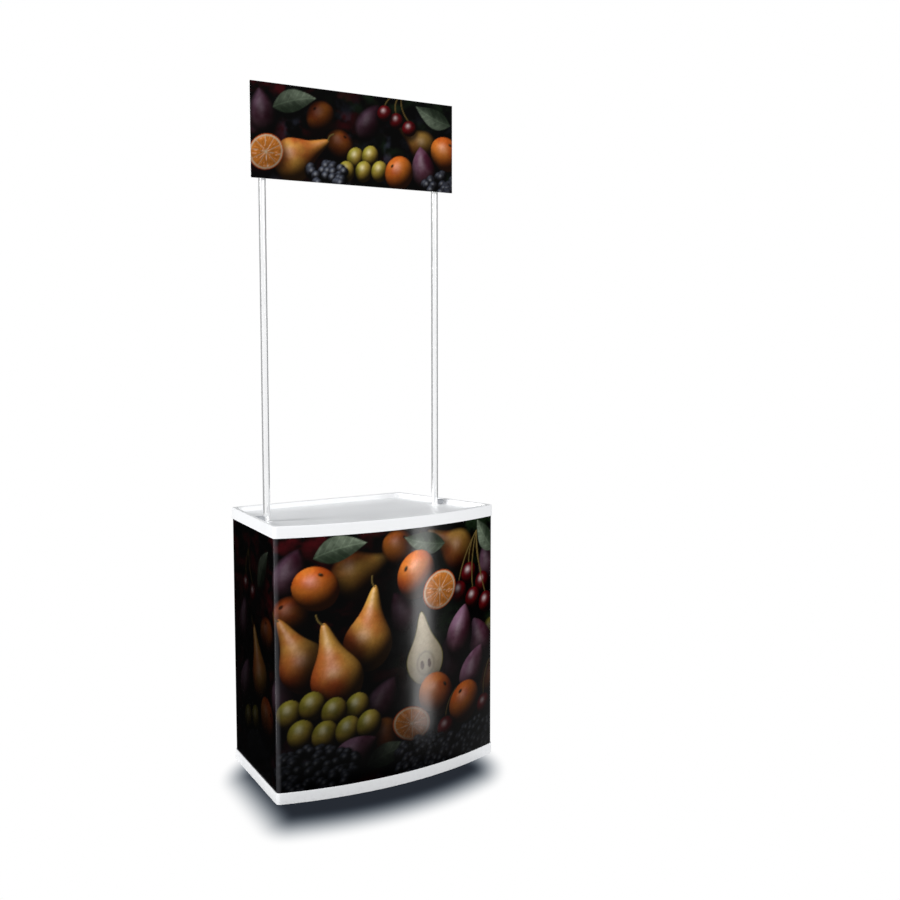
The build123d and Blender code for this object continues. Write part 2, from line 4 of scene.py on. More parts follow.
import bpy
import numpy as np
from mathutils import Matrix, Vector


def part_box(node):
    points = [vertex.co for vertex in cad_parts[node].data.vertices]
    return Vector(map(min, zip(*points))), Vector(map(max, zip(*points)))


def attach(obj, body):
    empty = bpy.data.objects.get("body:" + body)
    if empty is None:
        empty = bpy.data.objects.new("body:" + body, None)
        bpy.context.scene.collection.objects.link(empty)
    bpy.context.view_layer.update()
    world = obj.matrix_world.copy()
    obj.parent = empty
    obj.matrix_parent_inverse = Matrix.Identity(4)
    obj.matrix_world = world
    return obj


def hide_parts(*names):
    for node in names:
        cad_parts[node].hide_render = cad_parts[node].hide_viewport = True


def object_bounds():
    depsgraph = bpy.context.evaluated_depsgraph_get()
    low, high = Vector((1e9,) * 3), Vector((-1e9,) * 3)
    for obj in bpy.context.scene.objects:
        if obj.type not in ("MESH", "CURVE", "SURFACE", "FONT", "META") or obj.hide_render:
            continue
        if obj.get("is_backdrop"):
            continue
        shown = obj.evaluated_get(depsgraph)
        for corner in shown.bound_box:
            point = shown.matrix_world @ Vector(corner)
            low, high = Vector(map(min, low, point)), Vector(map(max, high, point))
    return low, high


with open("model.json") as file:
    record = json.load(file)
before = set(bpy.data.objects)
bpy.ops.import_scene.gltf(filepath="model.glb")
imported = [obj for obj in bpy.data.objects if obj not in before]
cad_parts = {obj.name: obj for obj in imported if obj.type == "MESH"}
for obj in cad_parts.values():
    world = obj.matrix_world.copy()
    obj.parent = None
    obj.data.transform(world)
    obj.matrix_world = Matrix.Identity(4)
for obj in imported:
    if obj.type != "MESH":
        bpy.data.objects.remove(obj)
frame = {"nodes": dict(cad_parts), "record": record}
nodes = frame["nodes"]
cad_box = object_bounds()

# Plan of the counter in metres: a trapezoid with a bowed front and rounded front corners
FRONT_WIDTH = 0.817
SIDE_TAPER = 0.080
SIDE_DEPTH = 0.449
FRONT_BOW = 0.073
CORNER_INSET = 0.0138
FILM_INSET = 0.0028
FILM_THICKNESS = 0.0006
REAR_CORNER_RADIUS = 0.008

# Grid of the printed films
PRINT_CELL = 0.0029
CORNER_COLUMNS = 14

# Where the photograph was taken from: metres, radians, and millimetres for the lens
CAMERA_PLACE = (-2.0759, -3.4170, 1.4221)
CAMERA_YAW = 0.62064
CAMERA_PITCH = 0.09552
CAMERA_LENS = 49.318
CAMERA_SENSOR = 36.0

# Lines that follow from the plan
SIDE_LEAN = math.atan2(SIDE_TAPER, SIDE_DEPTH)
REAR_Y = (SIDE_DEPTH + FRONT_BOW) / 2
CHORD_Y = REAR_Y - SIDE_DEPTH
BOW_RADIUS = (FRONT_WIDTH**2 / 4 + FRONT_BOW**2) / (2 * FRONT_BOW)
BOW_CENTRE_Y = CHORD_Y - FRONT_BOW + BOW_RADIUS
FILM_BOW_RADIUS = BOW_RADIUS - FILM_INSET
FILM_CORNER_RADIUS = CORNER_INSET - FILM_INSET


def corner_centre():
    """Point about which the right front corner bends.

    The side line and the bow's arc, both moved in by the corner's inset, meet there."""
    slope = math.tan(SIDE_LEAN)
    level_x = FRONT_WIDTH / 2 - (BOW_CENTRE_Y - CHORD_Y) * slope - CORNER_INSET / math.cos(SIDE_LEAN)
    a = 1 + slope**2
    b = -2 * level_x * slope
    c = level_x**2 - (BOW_RADIUS - CORNER_INSET) ** 2
    drop = (-b - math.sqrt(b**2 - 4 * a * c)) / (2 * a)
    return level_x - slope * drop, BOW_CENTRE_Y + drop


CORNER_X, CORNER_Y = corner_centre()
BOW_TURN = math.atan2(CORNER_X, BOW_CENTRE_Y - CORNER_Y)
SIDE_TURN = math.pi / 2 + SIDE_LEAN
BOW_HALF = BOW_TURN * FILM_BOW_RADIUS
CORNER_LENGTH = (SIDE_TURN - BOW_TURN) * FILM_CORNER_RADIUS
SIDE_START_Y = CORNER_Y + FILM_CORNER_RADIUS * math.sin(SIDE_LEAN)
SIDE_END_Y = REAR_Y - REAR_CORNER_RADIUS * math.cos(SIDE_LEAN) - FILM_INSET * math.sin(SIDE_LEAN)
SIDE_LENGTH = (SIDE_END_Y - SIDE_START_Y) / math.cos(SIDE_LEAN)
CORNER_END = BOW_HALF + CORNER_LENGTH
SHEET_HALF = CORNER_END + SIDE_LENGTH


# Paint: a still life of orchard fruit, worked out on the flat sheet

def ink(red, green, blue):
    """Linear colour of an ink given in screen values from 0 to 255."""
    return (np.array([red, green, blue]) / 255) ** 2.2


# Light on the painted fruit: from above and a little from the left
KEY_WAY = np.array([-0.36, 0.68, 0.64])
HALF_WAY = KEY_WAY + np.array([0, 0, 1])
HALF_WAY = HALF_WAY / np.linalg.norm(HALF_WAY)

NIGHT = ink(5, 4, 4)
GROUND_RED = ink(52, 12, 16)
GROUND_GREEN = ink(26, 38, 24)
GROUND_BLUE = ink(46, 48, 58)
CHERRY = ink(142, 20, 30)
CHERRY_DARK = ink(74, 8, 18)
PEAR = ink(224, 172, 84)
PEAR_BLUSH = ink(196, 96, 46)
TANGERINE = ink(232, 138, 56)
TANGERINE_DEEP = ink(206, 92, 34)
GREENGAGE = ink(208, 184, 84)
GREENGAGE_DEEP = ink(150, 142, 52)
FIG = ink(84, 34, 58)
FIG_BLOOM = ink(140, 104, 128)
CURRANT = ink(30, 30, 44)
CURRANT_BLOOM = ink(104, 110, 128)
LEAF = ink(128, 140, 120)
LEAF_DEEP = ink(34, 50, 32)
FLESH = ink(236, 218, 186)
STALK = ink(110, 92, 52)
PIP = ink(70, 40, 22)

# Painted highlight: a grey band painted where the laminate is bent round a corner, and half the width of
# its fade at the front
BEND_PAINTED_SHEEN = ink(48, 48, 50)
BEND_SHEEN_SPREAD = 0.005

# Painted shade: how dark the print's two flat sides are, against the front
LEFT_SIDE_PAINTED_SHADE = 0.12
RIGHT_SIDE_PAINTED_SHADE = 0.55

# Sizes of the fine marks in the print, and the tightness of the shine on the fruit
GRAIN_SIZE = 0.0036
PORE_SIZE = 0.009
CURRANT_LENGTH = 0.0175
CURRANT_WIDTH = 0.0165
SHINE_POWER = 28

# Points of the noise lattice along each axis, after which it repeats
LATTICE = 64


def smooth_step(low, high, value):
    """Cubic blend from 0 at low to 1 at high."""
    part = np.clip((value - low) / (high - low), 0, 1)
    return part * part * (3 - 2 * part)


def cloud(x, y, seed):
    """Value noise from 0 to 1: seeded heights on a unit lattice, blended smoothly between neighbours."""
    heights = np.random.default_rng(seed).random((LATTICE, LATTICE))
    column = np.floor(x).astype(int)
    row = np.floor(y).astype(int)
    across = smooth_step(0, 1, x - column)
    upward = smooth_step(0, 1, y - row)
    left = column % LATTICE
    right = (column + 1) % LATTICE
    low = row % LATTICE
    high = (row + 1) % LATTICE
    below = heights[low, left] * (1 - across) + heights[low, right] * across
    above = heights[high, left] * (1 - across) + heights[high, right] * across
    return below * (1 - upward) + above * upward


def layered_cloud(x, y, seed):
    """Three octaves of value noise, each twice as fine and half as strong."""
    return (4 * cloud(x, y, seed) + 2 * cloud(2 * x, 2 * y, seed + 1) + cloud(4 * x, 4 * y, seed + 2)) / 7


def print_grain(s, t):
    """Fine unevenness of the print, about 1."""
    return 0.93 + 0.14 * cloud(s / GRAIN_SIZE + 900, t / GRAIN_SIZE, 91)


def turned(ds, dt, tilt):
    """Distances along and across an axis that leans by tilt degrees from the horizontal."""
    lean = math.radians(tilt)
    return ds * math.cos(lean) + dt * math.sin(lean), dt * math.cos(lean) - ds * math.sin(lean)


class Canvas:
    """Colours of the points (s, t) on a flat sheet, painted from back to front."""

    def __init__(self, s, t):
        self.s = s
        self.t = t
        self.colour = np.tile(NIGHT, (len(s), 1))

    def near(self, place, reach):
        """Points within a square about a place, and their distances from it."""
        ds = self.s - place[0]
        dt = self.t - place[1]
        chosen = np.flatnonzero((np.abs(ds) < reach) & (np.abs(dt) < reach))
        return chosen, ds[chosen], dt[chosen]

    def lay(self, chosen, colour, cover):
        """Blends a colour over the chosen points."""
        cover = cover[:, None]
        self.colour[chosen] = self.colour[chosen] * (1 - cover) + colour * cover

    def shadow(self, place, length, width, tilt, depth):
        """Soft dark patch below a motif, on whatever lies behind it."""
        moved = (place[0] + 0.10 * width, place[1] - 0.30 * width)
        chosen, ds, dt = self.near(moved, 1.8 * max(length, width))
        along, across = turned(ds, dt, tilt)
        distance = np.hypot(along / length, across / width)
        self.lay(chosen, NIGHT, depth * smooth_step(1.6, 0.8, distance))


def round_profile(h):
    """Ball."""
    return np.sqrt(1 - h**2)


def pear_profile(h):
    """Wide at the foot, h = -1, drawn in by a soft step to the narrow neck."""
    return np.sqrt(1 - h**2) * (0.66 - 0.36 * np.tanh(2.4 * h - 0.2))


def fig_profile(h):
    """Full drop with a pointed neck."""
    return 0.95 * np.sqrt(1 + h) * (1 - h) ** 0.8


def fruit(
    canvas, place, length, width, tilt, skin, blush, profile=round_profile, gloss=0.2, light=1.0, soft=1.0
):
    """Body of revolution about a leaning axis: depth from its profile, lit by its normal.

    The skin turns to its blush colour across the axis, and soft is the edge's width in print cells."""
    canvas.shadow(place, length, width, tilt, 0.85)
    chosen, ds, dt = canvas.near(place, 1.25 * max(length, width))
    along, across = turned(ds, dt, tilt)
    h = np.clip(along / length, -0.999, 0.999)
    w = across / width
    radius = profile(h)
    step = 0.0005
    slope = (profile(np.minimum(h + step, 0.9999)) - profile(np.maximum(h - step, -0.9999))) / (2 * step)
    depth = np.sqrt(np.maximum(radius**2 - w**2, 0))
    normal_along = -radius * slope * width / length
    size = np.sqrt(normal_along**2 + w**2 + depth**2) + 1e-9
    lean = math.radians(tilt)
    normal = np.stack(
        [
            (normal_along * math.cos(lean) - w * math.sin(lean)) / size,
            (normal_along * math.sin(lean) + w * math.cos(lean)) / size,
            depth / size,
        ],
        axis=1,
    )
    mottle = layered_cloud(ds / width * 1.3 + 9 * place[0] + 30, dt / width * 1.3 + 7 * place[1] + 30, 11)
    pores = layered_cloud(ds / PORE_SIZE + 50, dt / PORE_SIZE + 50, 23) - 0.5
    mixing = smooth_step(0.15, 1.0, mottle + 0.35 * w)[:, None]
    facing = np.clip((normal @ KEY_WAY + 0.10) / 1.10, 0, 1)
    body = 0.012 + 1.02 * facing**2.2 * (1 + 0.30 * pores)
    warm = np.array([1.0, 0.82, 0.66]) ** (1.6 * (1 - facing[:, None]))
    shine = gloss * np.clip(normal @ HALF_WAY, 0, 1) ** SHINE_POWER * (1 + 0.8 * pores)
    colour = (skin * (1 - mixing) + blush * mixing) * warm * body[:, None] + shine[:, None]
    inside = (np.abs(along) < length) * np.clip((radius - np.abs(w)) * width / (soft * PRINT_CELL), 0, 1)
    canvas.lay(chosen, colour * light, inside)


def stalk(canvas, start, end, bend, thickness, light=1.0):
    """Thin stem between two places, bowed sideways as a parabola."""
    length = math.dist(start, end)
    middle = ((start[0] + end[0]) / 2, (start[1] + end[1]) / 2)
    tilt = math.degrees(math.atan2(end[1] - start[1], end[0] - start[0]))
    chosen, ds, dt = canvas.near(middle, length)
    along, across = turned(ds, dt, tilt)
    part = along / length + 0.5
    offset = across - bend * 4 * part * (1 - part)
    cover = (np.abs(part - 0.5) < 0.5) * smooth_step(thickness, 0.4 * thickness, np.abs(offset))
    tone = 0.25 + 0.6 * smooth_step(-thickness, thickness, offset)
    canvas.lay(chosen, STALK * tone[:, None] * light, cover)


def leaf(canvas, place, length, width, tilt, light=1.0):
    """Pointed leaf: half-width falls to both ends, with a midrib, slanting veins and one half in shade."""
    canvas.shadow(place, length, width, tilt, 0.6)
    chosen, ds, dt = canvas.near(place, 1.1 * length)
    along, across = turned(ds, dt, tilt)
    h = np.clip(along / length, -1, 1)
    edge = (1 - h**2) * (1 - 0.35 * h)
    w = across / width - 0.22 * (1 - h**2)
    vein = smooth_step(0.75, 1.0, np.cos(2 * math.pi * (3.4 * h - 1.5 * np.abs(w))))
    rib = smooth_step(0.08, 0.02, np.abs(w))
    fold = smooth_step(-0.7, 0.6, w)
    tone = (0.18 + 0.62 * fold) * (0.55 + 0.9 * layered_cloud(along / 0.016 + 40, across / 0.016 + 40, 5))
    tone = tone * (0.75 + 0.35 * h)
    colour = LEAF_DEEP + (LEAF - LEAF_DEEP) * np.clip(tone, 0, 1.2)[:, None]
    colour = colour * (0.35 + 0.75 * tone + 0.22 * vein + 0.4 * rib)[:, None]
    inside = (np.abs(along) < length) * np.clip((edge - np.abs(w)) * width / PRINT_CELL, 0, 1)
    canvas.lay(chosen, colour * light, inside)


def tangerine_half(canvas, place, radius, squash, tilt, light=1.0):
    """Cut disc: rind, pale pith and ten wedges with streaks that run outwards."""
    canvas.shadow(place, radius, radius * squash, tilt, 0.85)
    chosen, ds, dt = canvas.near(place, 1.15 * radius)
    along, across = turned(ds, dt, tilt)
    out = np.hypot(along, across / squash) / radius
    turn = np.arctan2(across / squash, along)
    wall = np.abs(np.sin(5 * turn + 0.4)) * out
    streak = cloud(turn * 19 + 70, out * 5 + 3, 31)
    flesh = TANGERINE * (0.45 + 0.55 * streak)[:, None]
    membrane = 0.6 * smooth_step(0.12, 0.04, wall)
    under_rind = 0.8 * smooth_step(0.82, 0.88, out)
    core = 0.7 * smooth_step(0.11, 0.06, out)
    pith = np.maximum(np.maximum(membrane, under_rind), core)[:, None]
    colour = flesh * (1 - pith) + FLESH * 0.75 * pith
    rind = smooth_step(0.92, 0.95, out)[:, None]
    colour = colour * (1 - rind) + TANGERINE_DEEP * rind
    side = 0.62 + 0.40 * (ds * KEY_WAY[0] + dt * KEY_WAY[1]) / radius
    glint = 0.14 * smooth_step(0.78, 0.95, streak) * (out < 0.8)
    inside = np.clip((1 - out) * radius / PRINT_CELL, 0, 1)
    canvas.lay(chosen, (colour * side[:, None] + glint[:, None]) * light, inside)


def pear_half(canvas, place, length, width, tilt, light=1.0):
    """Cut pear: cream flesh inside a thin skin, with a core outline and two pips."""
    canvas.shadow(place, length, width, tilt, 0.85)
    chosen, ds, dt = canvas.near(place, 1.25 * length)
    along, across = turned(ds, dt, tilt)
    h = np.clip(along / length, -0.999, 0.999)
    w = across / width
    margin = pear_profile(h) - np.abs(w)
    grain = 0.85 + 0.2 * layered_cloud(along / 0.012 + 40, across / 0.012 + 40, 41)
    side = 0.66 + 0.42 * (ds * KEY_WAY[0] + dt * KEY_WAY[1]) / length
    colour = FLESH * (grain * side * (0.8 + 0.2 * smooth_step(0.0, 0.4, margin)))[:, None]
    core = np.hypot((h + 0.42) / 0.32, w / 0.40)
    colour = colour * (1 - 0.25 * smooth_step(0.2, 0.0, np.abs(core - 1)) - 0.08 * (core < 1))[:, None]
    pips = np.hypot((h + 0.44) / 0.13, (np.abs(w) - 0.17) / 0.09)
    colour = colour + (PIP - colour) * smooth_step(1.05, 0.8, pips)[:, None]
    rim = smooth_step(0.07, 0.02, margin)[:, None]
    colour = colour * (1 - rim) + GREENGAGE_DEEP * 0.5 * rim
    inside = (np.abs(along) < length) * np.clip(margin * width / PRINT_CELL, 0, 1)
    canvas.lay(chosen, colour * light, inside)


def pear(canvas, place, size, tilt, light=1.0, soft=1.0):
    """Golden pear with a red cheek and a stalk at the neck."""
    lean = math.radians(tilt)
    neck = (place[0] + 0.95 * size * math.cos(lean), place[1] + 0.95 * size * math.sin(lean))
    tip = (neck[0] + 0.30 * size * math.cos(lean + 0.35), neck[1] + 0.30 * size * math.sin(lean + 0.35))
    fruit(canvas, place, size, 0.72 * size, tilt, PEAR, PEAR_BLUSH, pear_profile, 0.16, light, soft)
    stalk(canvas, neck, tip, 0.006, 0.004, light)


def tangerine(canvas, place, radius, turn, light=1.0, soft=1.0):
    """Whole fruit, a little flat, with a small dark button in the direction of turn degrees."""
    way = (math.cos(math.radians(turn)), math.sin(math.radians(turn)))
    look = {"light": light, "soft": soft}
    fruit(canvas, place, radius, 0.90 * radius, turn - 90, TANGERINE, TANGERINE_DEEP, gloss=0.16, **look)
    button = (place[0] + 0.60 * radius * way[0], place[1] + 0.60 * radius * way[1])
    fruit(canvas, button, 0.10 * radius, 0.06 * radius, turn - 90, LEAF_DEEP, STALK, gloss=0.05, **look)


def greengage(canvas, place, radius, light=1.0, soft=1.0):
    """Small yellow-green plum."""
    look = {"light": light, "soft": soft}
    fruit(canvas, place, radius, 0.9 * radius, 65, GREENGAGE, GREENGAGE_DEEP, gloss=0.3, **look)


def cherry(canvas, place, radius, top, light=1.0):
    """Dark glossy cherry on a long stalk."""
    stalk(canvas, (place[0], place[1] + 0.8 * radius), top, 0.012, 0.0036, light)
    fruit(canvas, place, radius, 0.94 * radius, 20, CHERRY, CHERRY_DARK, gloss=0.4, light=light)


def fig(canvas, place, size, tilt, light=1.0, soft=1.0):
    """Purple fig with a dusty bloom."""
    fruit(canvas, place, size, 0.72 * size, tilt, FIG, FIG_BLOOM, fig_profile, 0.10, light, soft)


def currants(canvas, place, spread, count, seed, light=1.0):
    """Heap of dark berries with pale bloom: a seeded draw inside an ellipse, upper ones first."""
    draw = np.random.default_rng(seed)
    turn = draw.random(count) * 2 * math.pi
    out = np.sqrt(draw.random(count))
    spots = sorted(zip(out * np.sin(turn), out * np.cos(turn)), reverse=True)
    size = (CURRANT_LENGTH, CURRANT_WIDTH)
    for rise, run in spots:
        spot = (place[0] + spread * run, place[1] + 0.5 * spread * rise)
        fruit(canvas, spot, *size, 30, CURRANT, CURRANT_BLOOM, gloss=0.35, light=light)


def ground(canvas):
    """Dark foliage: reddish to the left, green to the right, blue-grey at the foot."""
    s = canvas.s
    t = canvas.t
    red = smooth_step(0.42, 0.8, layered_cloud(s / 0.045 + 60, t / 0.03 + 5, 61))
    red = red * smooth_step(0.25, -0.3, s)
    green = smooth_step(0.42, 0.8, layered_cloud(s / 0.05 + 60, t / 0.04 + 9, 71))
    green = green * smooth_step(-0.2, 0.3, s)
    blue = smooth_step(0.5, 0.85, layered_cloud(s / 0.03 + 60, t / 0.03 + 2, 81))
    blue = blue * smooth_step(0.3, 0.05, t)
    for cover, colour in ((red, GROUND_RED), (green, GROUND_GREEN), (blue, GROUND_BLUE)):
        canvas.colour += cover[:, None] * colour


def counter_print(s, t):
    """Picture on the body sheet: s along the sheet from the middle of the front, t above the floor."""
    canvas = Canvas(s, t)
    ground(canvas)
    # Dim fruit at the back
    fig(canvas, (-0.37, 0.70), 0.085, 70, 0.30, 6)
    pear(canvas, (-0.13, 0.70), 0.125, 20, 0.26, 6)
    tangerine(canvas, (-0.01, 0.755), 0.066, 60, 0.28, 6)
    pear(canvas, (0.20, 0.74), 0.120, 150, 0.28, 6)
    fig(canvas, (0.385, 0.66), 0.080, 100, 0.35, 6)
    tangerine(canvas, (-0.37, 0.575), 0.070, 130, 0.30, 6)
    fig(canvas, (0.01, 0.545), 0.085, 120, 0.40, 5)
    greengage(canvas, (0.40, 0.42), 0.055, 0.35, 5)
    fig(canvas, (-0.40, 0.33), 0.085, 80, 0.40, 5)
    tangerine(canvas, (0.40, 0.27), 0.070, 110, 0.35, 5)
    fig(canvas, (-0.07, 0.28), 0.085, 60, 0.35, 5)
    tangerine(canvas, (-0.06, 0.16), 0.070, 200, 0.30, 5)
    fig(canvas, (0.19, 0.36), 0.085, 100, 0.30, 5)
    # Leaves and hanging cherries
    leaf(canvas, (-0.21, 0.765), 0.090, 0.040, 12, 0.75)
    leaf(canvas, (0.09, 0.77), 0.085, 0.036, 168, 0.6)
    leaf(canvas, (0.375, 0.755), 0.075, 0.036, 130, 0.7)
    for place in ((0.285, 0.64), (0.355, 0.60), (0.235, 0.585), (0.305, 0.555), (0.375, 0.53)):
        cherry(canvas, place, 0.038, (0.325, 0.775), 0.9)
    # Tangerines at the top
    tangerine(canvas, (-0.290, 0.655), 0.076, 70, 0.80)
    tangerine(canvas, (0.055, 0.665), 0.080, 150, 0.95)
    tangerine_half(canvas, (0.150, 0.605), 0.072, 0.86, 25, 0.9)
    # Pears in the middle
    pear(canvas, (-0.345, 0.455), 0.130, 118, 0.75)
    pear(canvas, (-0.115, 0.515), 0.135, 82, 0.95)
    pear(canvas, (-0.235, 0.415), 0.138, 104, 1.0)
    # Figs and the cut pear
    fig(canvas, (0.345, 0.405), 0.088, 115, 0.85)
    fig(canvas, (0.245, 0.455), 0.088, 75, 0.95)
    pear_half(canvas, (0.085, 0.425), 0.120, 0.085, 96, 0.8)
    fig(canvas, (0.310, 0.315), 0.086, 60, 0.9)
    # Greengages heaped at the lower left
    for place in ((-0.375, 0.275), (-0.305, 0.295), (-0.160, 0.275), (-0.235, 0.270)):
        greengage(canvas, place, 0.047, 0.8)
    for place in ((-0.340, 0.210), (-0.265, 0.20), (-0.19, 0.205), (-0.120, 0.215)):
        greengage(canvas, place, 0.048, 0.95)
    # Tangerines and cherries at the lower right
    tangerine(canvas, (0.135, 0.265), 0.078, 40, 0.9)
    tangerine(canvas, (0.265, 0.215), 0.076, 120, 1.0)
    tangerine_half(canvas, (0.035, 0.190), 0.074, 0.74, 165, 0.9)
    cherry(canvas, (0.365, 0.185), 0.037, (0.40, 0.33), 0.85)
    cherry(canvas, (0.175, 0.150), 0.038, (0.225, 0.27), 0.9)
    # Foot of the heap
    leaf(canvas, (-0.05, 0.105), 0.085, 0.036, 15, 0.6)
    fig(canvas, (-0.165, 0.130), 0.080, 30, 0.8)
    currants(canvas, (-0.30, 0.095), 0.140, 90, 4, 0.32)
    currants(canvas, (0.09, 0.080), 0.130, 80, 3, 0.38)
    currants(canvas, (0.335, 0.085), 0.110, 66, 6, 0.34)
    side_motifs(canvas, -1)
    side_motifs(canvas, 1)
    # Painted shade: the flat sides darker than the front, the left side most; the whole print is also
    # darker towards the foot
    reach = np.abs(s)
    side_shade = np.where(s < 0, LEFT_SIDE_PAINTED_SHADE, RIGHT_SIDE_PAINTED_SHADE)
    side_shade_and_foot_dimming = side_shade + (1 - side_shade) * smooth_step(CORNER_END + 0.10, CORNER_END - 0.05, reach)
    side_shade_and_foot_dimming = side_shade_and_foot_dimming * (0.12 + 1.12 * smooth_step(0.03, 0.85, t))
    # Painted highlight along both corner bends of the front film, added on top of the print
    bend = smooth_step(BOW_HALF - BEND_SHEEN_SPREAD, BOW_HALF + BEND_SHEEN_SPREAD, reach) * (reach <= CORNER_END)
    return canvas.colour * (print_grain(s, t) * side_shade_and_foot_dimming)[:, None] + BEND_PAINTED_SHEEN * bend[:, None]


def side_motifs(canvas, side):
    """Sparser fruit on one flat side of the sheet."""
    middle = CORNER_END + SIDE_LENGTH / 2
    fig(canvas, (side * (middle + 0.10), 0.50), 0.085, 80, 0.35, 6)
    tangerine(canvas, (side * (middle - 0.14), 0.50), 0.070, 100, 0.30, 6)
    leaf(canvas, (side * (middle - 0.11), 0.70), 0.085, 0.036, 90 + side * 40, 0.5)
    cherry(canvas, (side * (middle + 0.00), 0.605), 0.037, (side * (middle + 0.04), 0.74), 0.75)
    cherry(canvas, (side * (middle + 0.075), 0.62), 0.037, (side * (middle + 0.04), 0.74), 0.75)
    pear(canvas, (side * (middle - 0.05), 0.385), 0.130, 90 - side * 20, 0.8)
    fig(canvas, (side * (middle + 0.09), 0.30), 0.086, 70, 0.6)
    tangerine(canvas, (side * (middle - 0.135), 0.235), 0.074, 90 + side * 50, 0.65)
    greengage(canvas, (side * (middle - 0.01), 0.205), 0.047, 0.65)
    greengage(canvas, (side * (middle + 0.07), 0.185), 0.047, 0.55)
    currants(canvas, (side * (middle - 0.05), 0.095), 0.130, 80, 8, 0.34)


def header_picture(s, t):
    """Picture on the header: fruit along the foot and in the corners of a dark field."""
    canvas = Canvas(s, t)
    ground(canvas)
    fig(canvas, (-0.33, 0.20), 0.070, 100, 0.35, 6)
    tangerine(canvas, (-0.06, 0.12), 0.055, 60, 0.28, 6)
    fig(canvas, (0.05, 0.20), 0.070, 60, 0.25, 6)
    pear(canvas, (0.23, 0.155), 0.090, 150, 0.30, 6)
    tangerine(canvas, (-0.13, 0.20), 0.055, 130, 0.22, 6)
    leaf(canvas, (-0.22, 0.235), 0.080, 0.034, 15, 0.65)
    leaf(canvas, (0.295, 0.245), 0.075, 0.032, 160, 0.6)
    for place in ((0.150, 0.215), (0.200, 0.195), (0.105, 0.235)):
        cherry(canvas, place, 0.028, (0.170, 0.30), 0.8)
    tangerine(canvas, (0.345, 0.125), 0.062, 60, 0.85)
    fig(canvas, (0.255, 0.075), 0.068, 100, 0.85)
    pear(canvas, (-0.195, 0.080), 0.108, 28, 0.95)
    tangerine_half(canvas, (-0.320, 0.080), 0.062, 0.85, 30, 0.9)
    for place in ((-0.005, 0.085), (0.05, 0.095), (0.025, 0.045), (0.085, 0.050), (-0.04, 0.040)):
        greengage(canvas, place, 0.035, 0.9)
    tangerine(canvas, (0.160, 0.050), 0.058, 140, 0.9)
    currants(canvas, (-0.11, 0.025), 0.070, 30, 12, 0.45)
    currants(canvas, (0.33, 0.022), 0.070, 30, 13, 0.40)
    return canvas.colour * print_grain(s, t)[:, None]


# Making objects in the scene

def in_scene(name, data):
    """New object with the given mesh, lamp or camera, linked into the scene."""
    made = bpy.data.objects.new(name, data)
    bpy.context.scene.collection.objects.link(made)
    return made


def grid_faces(index):
    """Corners of the squares of a grid, from the numbers of its points."""
    corners = (index[:-1, :-1], index[:-1, 1:], index[1:, 1:], index[1:, :-1])
    return np.stack([corner.ravel() for corner in corners], axis=1).tolist()


def colour_points(mesh, layer_name, colours):
    """Keeps a colour for each point in a named layer of the mesh."""
    opaque = np.pad(colours, ((0, 0), (0, 1)), constant_values=1)
    layer = mesh.attributes.new(layer_name, "FLOAT_COLOR", "POINT")
    layer.data.foreach_set("color", opaque.astype(np.float32).ravel())


# Printed films: fine painted grids with a plain back

FILM_BACK = ink(205, 205, 203)
FILM_EDGE_ANGLE = 40
FILM_GROUP = bpy.data.collections.new("printed_films")


def sheet_path(s):
    """Film's outer face in plan at distance s from the middle of the front, and its outward normal.

    Front and corner are arcs, (c_x + r sin a, c_y - r cos a), each about its own centre c.
    The side is a straight line that leans inwards to the rear. The left half mirrors the right."""
    reach = np.abs(s)
    side = np.where(s < 0, -1.0, 1.0)
    turn = np.minimum(reach, BOW_HALF) / FILM_BOW_RADIUS
    turn = turn + np.clip(reach - BOW_HALF, 0, CORNER_LENGTH) / FILM_CORNER_RADIUS
    along = np.maximum(reach - CORNER_END, 0)
    on_bow = reach <= BOW_HALF
    x = np.where(
        on_bow,
        FILM_BOW_RADIUS * np.sin(turn),
        CORNER_X + FILM_CORNER_RADIUS * np.sin(turn) - along * math.sin(SIDE_LEAN),
    )
    y = np.where(
        on_bow,
        BOW_CENTRE_Y - FILM_BOW_RADIUS * np.cos(turn),
        CORNER_Y - FILM_CORNER_RADIUS * np.cos(turn) + along * math.cos(SIDE_LEAN),
    )
    return np.stack([side * x, y], axis=1), np.stack([side * np.sin(turn), -np.cos(turn)], axis=1)


def spaced(start, end):
    """Even steps of about one print cell between two distances."""
    return np.linspace(start, end, max(2, round(abs(end - start) / PRINT_CELL) + 1))


def film(name, path, s, z, picture, body, node, finish):
    """Closed film: a painted grid over path(s) and heights z, and one tall strip per column behind it."""
    plan, normal = path(s)
    rows = len(z)
    columns = len(s)
    front = np.empty((rows, columns, 3))
    front[:, :, :2] = plan
    front[:, :, 2] = z[:, None]
    back = np.empty((2, columns, 3))
    back[:, :, :2] = plan - normal * FILM_THICKNESS
    back[:, :, 2] = [[z[0]], [z[-1]]]
    face = np.arange(rows * columns).reshape(rows, columns)
    rear = rows * columns + np.arange(2 * columns).reshape(2, columns)
    polygons = grid_faces(face)
    polygons += grid_faces(rear[::-1])
    polygons += grid_faces(np.stack([rear[0], face[0]]))
    polygons += grid_faces(np.stack([face[-1], rear[1]]))
    polygons.append(face[:, 0].tolist() + rear[::-1, 0].tolist())
    polygons.append(rear[:, -1].tolist() + face[::-1, -1].tolist())
    points = np.concatenate([front.reshape(-1, 3), back.reshape(-1, 3)])
    mesh = bpy.data.meshes.new(name)
    mesh.from_pydata(points.tolist(), [], polygons)
    mesh.shade_smooth()
    mesh.set_sharp_from_angle(angle=math.radians(FILM_EDGE_ANGLE))
    colours = np.tile(FILM_BACK, (len(points), 1))
    grid_s, grid_z = np.meshgrid(s, z)
    colours[: rows * columns] = picture(grid_s.ravel(), grid_z.ravel())
    colour_points(mesh, "print", colours)
    mesh.materials.append(finish)
    piece = in_scene(name, mesh)
    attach(piece, body)
    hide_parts(node)
    FILM_GROUP.objects.link(piece)


# Finishes: node materials on object coordinates

